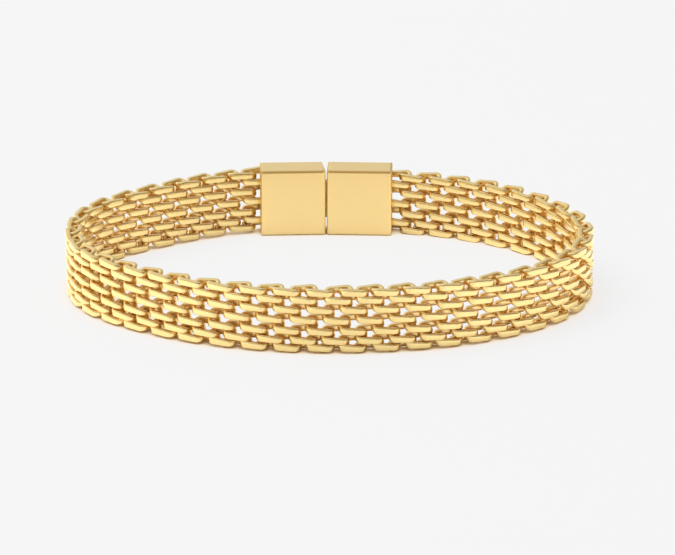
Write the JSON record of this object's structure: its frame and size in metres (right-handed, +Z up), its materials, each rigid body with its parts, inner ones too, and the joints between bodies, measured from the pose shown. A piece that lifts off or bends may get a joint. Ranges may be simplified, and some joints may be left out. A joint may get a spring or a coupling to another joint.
{
  "type": "mesh bracelet",
  "caption": "Bracelet woven from flat gold wire coils into a stiff oval band, closed by a rectangular two-block clasp.",
  "frame": {"origin": "middle of the object's footprint, on the flat surface that it lies on", "axes": "+Z up along the wrist opening, +X to the right as pictured, +Y from the front of the loop to the clasp"},
  "size_m": [0.0666, 0.0454, 0.009],
  "materials": {
    "mesh_gold": "bright gold plate on woven wire",
    "block_gold": "satin gold plate",
    "tongue_gold": "plain gold plate"
  },
  "bodies": {
    "root": {"mesh_band": "mesh_gold", "clasp_left_block": "block_gold", "clasp_right_block": "block_gold", "clasp_tongue": "tongue_gold"}
  },
  "joints": []
}
